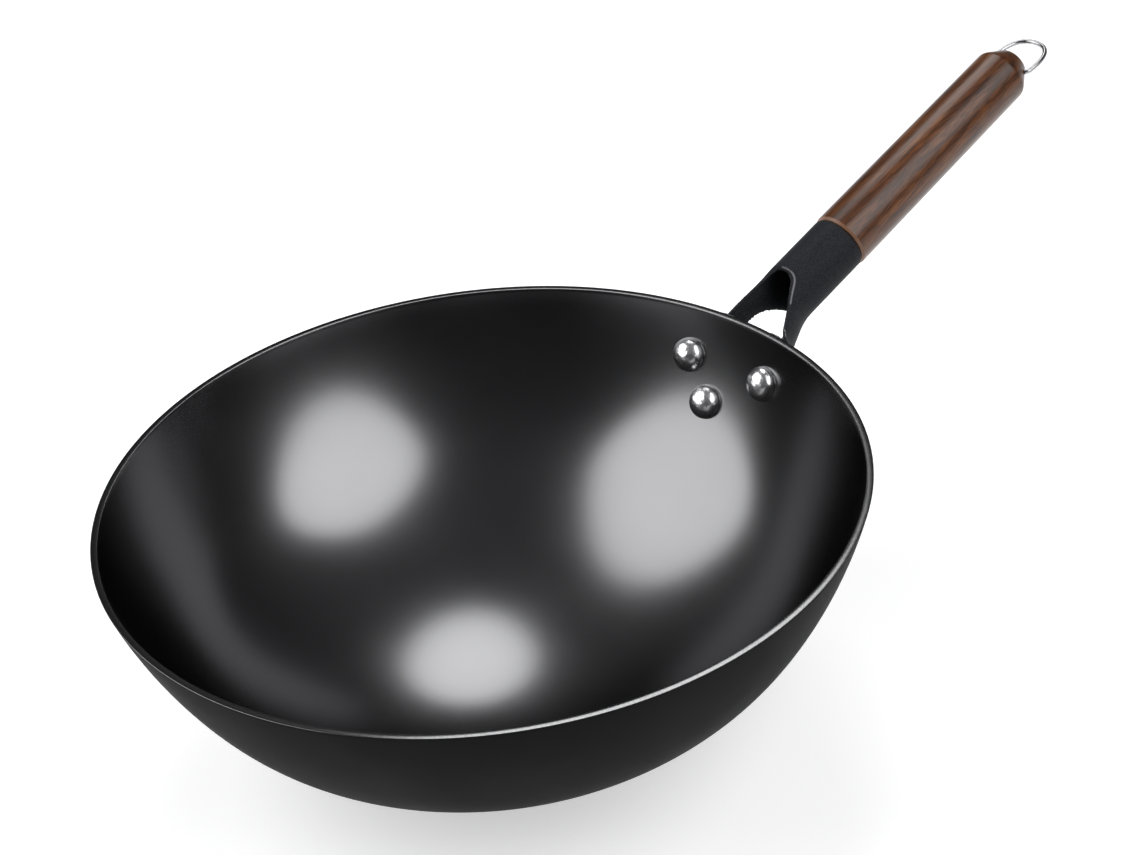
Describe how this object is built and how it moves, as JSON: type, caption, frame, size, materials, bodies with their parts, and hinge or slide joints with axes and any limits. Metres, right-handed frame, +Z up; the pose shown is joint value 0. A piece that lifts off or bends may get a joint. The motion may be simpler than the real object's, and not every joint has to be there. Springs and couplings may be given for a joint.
{
  "type": "wok",
  "caption": "Round-bottomed iron wok with a small flat spot to stand on, a riveted tubular socket, a turned wooden grip and a wire hanging ring.",
  "frame": {"origin": "centre of the flat spot on the underside, which the bowl stands on", "axes": "+X along the handle, away from the bowl; +Z up out of the bowl's mouth"},
  "size_m": [0.5195, 0.32, 0.1775],
  "materials": {
    "bowl_steel": "satin black",
    "bracket_steel": "fine matte black",
    "rivet_steel": "polished",
    "grip_wood": "satin varnish",
    "screw_steel": "satin",
    "ring_steel": "polished"
  },
  "bodies": {
    "wok": {"wok_bowl": "bowl_steel", "handle_bracket": "bracket_steel", "left_rivet": "rivet_steel", "right_rivet": "rivet_steel", "lower_rivet": "rivet_steel", "wooden_grip": "grip_wood", "grip_screw": "screw_steel"},
    "ring": {"hanging_ring": "ring_steel"}
  },
  "joints": [
    {"name": "ring_swing", "type": "hinge", "parent": "wok", "child": "ring", "pos_m": [0.33844, 0, 0.16684], "axis": [0, 1, 0], "range_deg": [-90, 80]}
  ]
}
